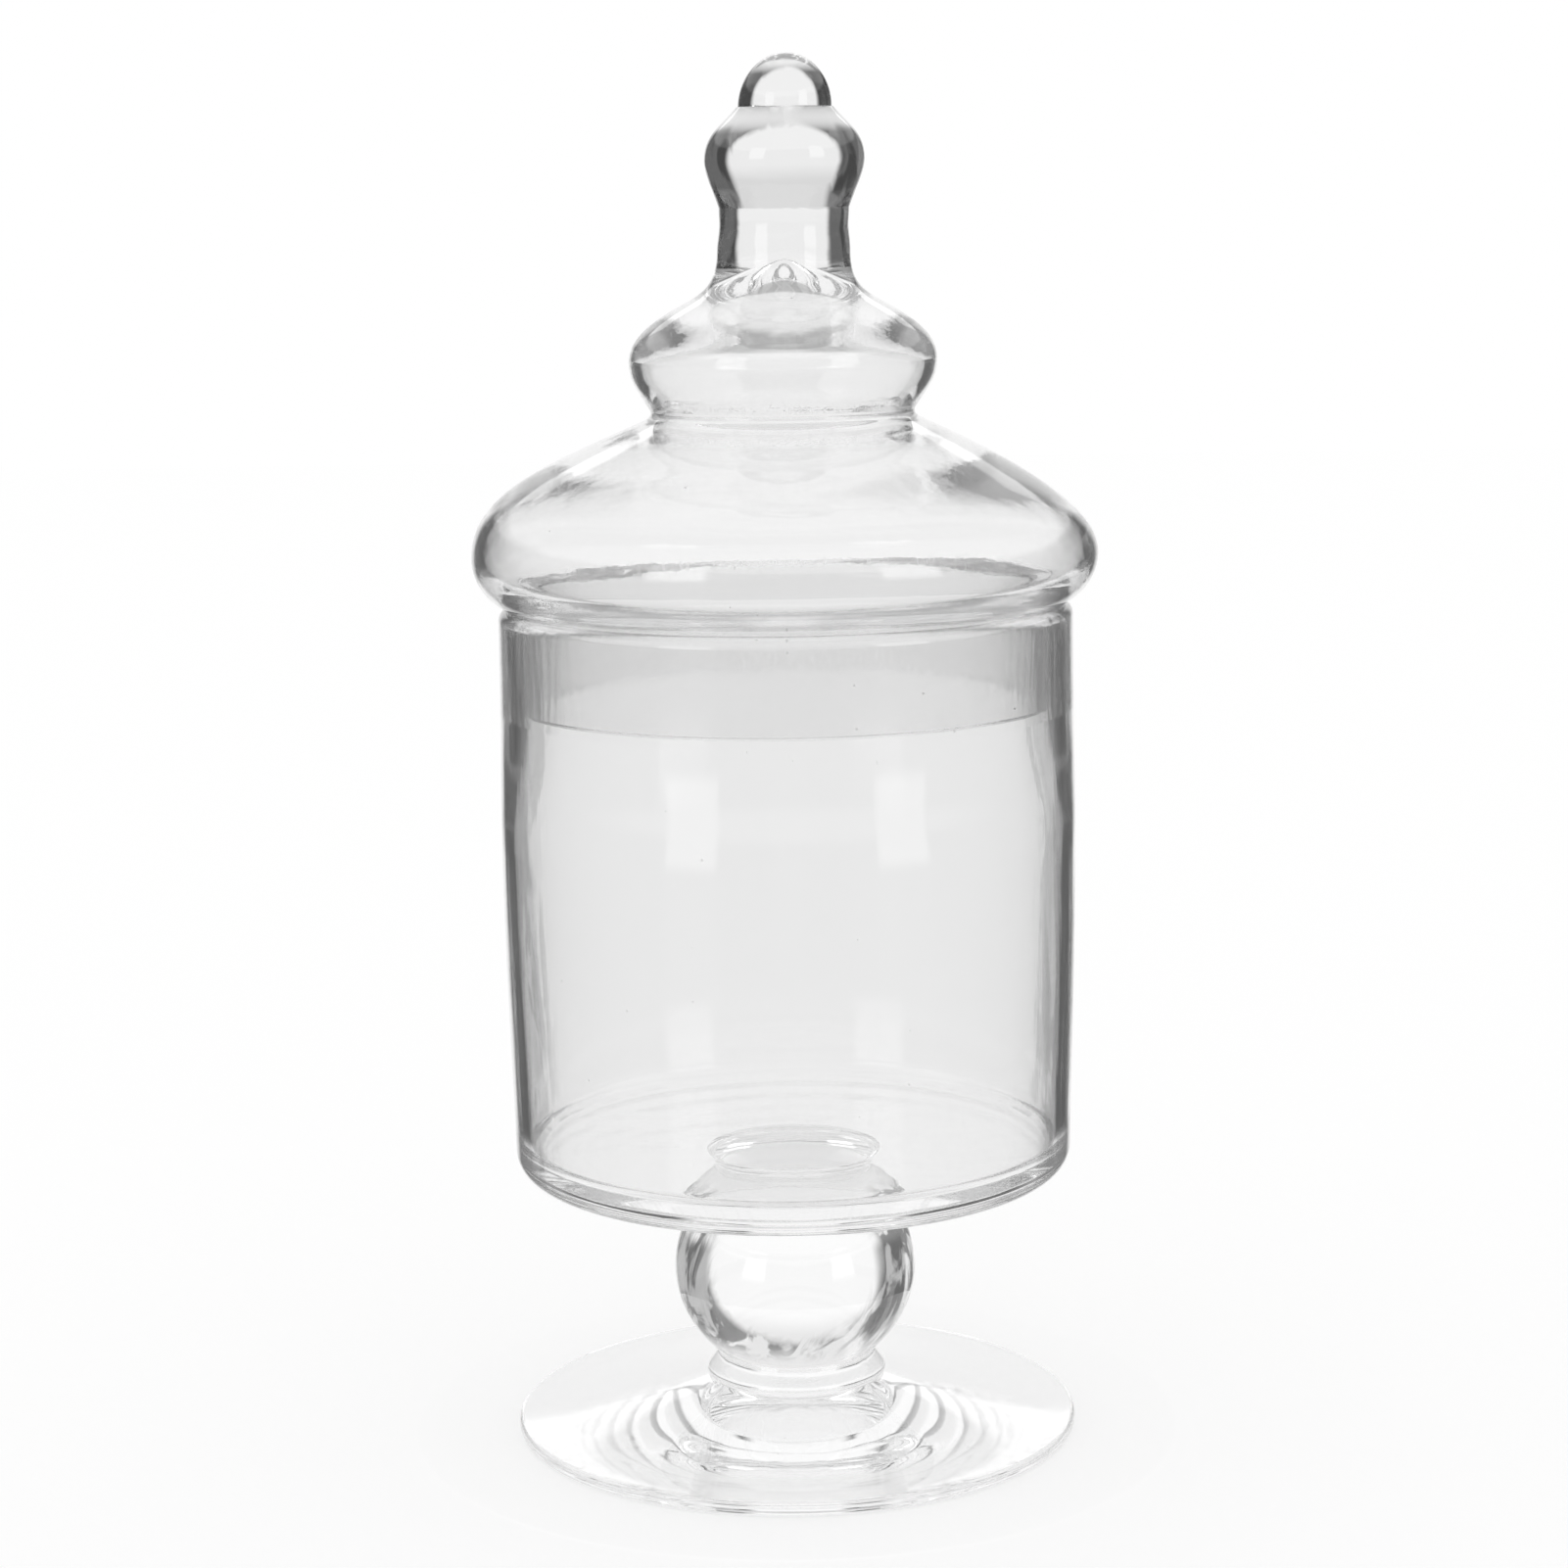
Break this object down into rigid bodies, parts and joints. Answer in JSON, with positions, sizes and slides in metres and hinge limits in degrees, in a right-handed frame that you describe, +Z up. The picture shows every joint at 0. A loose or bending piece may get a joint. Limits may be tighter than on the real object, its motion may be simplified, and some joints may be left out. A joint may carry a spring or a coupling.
{
  "type": "apothecary jar",
  "caption": "Footed clear glass apothecary jar: cylindrical bowl on a ball knop and disc foot, with a domed lift-off lid that has a ground collar, a hollow crown and a rounded finial.",
  "frame": {"origin": "centre of the foot's underside, on the surface that the jar stands on", "axes": "+Z up along the jar's axis of symmetry; +X and +Y are equivalent"},
  "size_m": [0.1349, 0.1348, 0.3005],
  "materials": {
    "foot_glass": "clear, polished, with fine wear scratches",
    "stem_glass": "clear, fire-polished",
    "bowl_glass": "clear, blown, faintly striated, fire-polished rim",
    "ground_glass": "clear, outside lightly ground",
    "lid_glass": "clear, blown, faint swirls",
    "finial_glass": "clear, solid, fire-polished"
  },
  "bodies": {
    "jar": {"foot": "foot_glass", "foot_neck": "stem_glass", "ball_knop": "stem_glass", "bowl_neck": "stem_glass", "bowl": "bowl_glass"},
    "lid": {"lid_collar": "ground_glass", "lid_dome": "lid_glass", "lid_crown": "lid_glass", "finial_stem": "finial_glass", "finial_bulb": "finial_glass", "finial_tip": "finial_glass"}
  },
  "joints": [
    {"name": "lid_lift", "type": "slide", "parent": "jar", "child": "lid", "axis": [0, 0, 1], "range_m": [0, 0.12]}
  ]
}
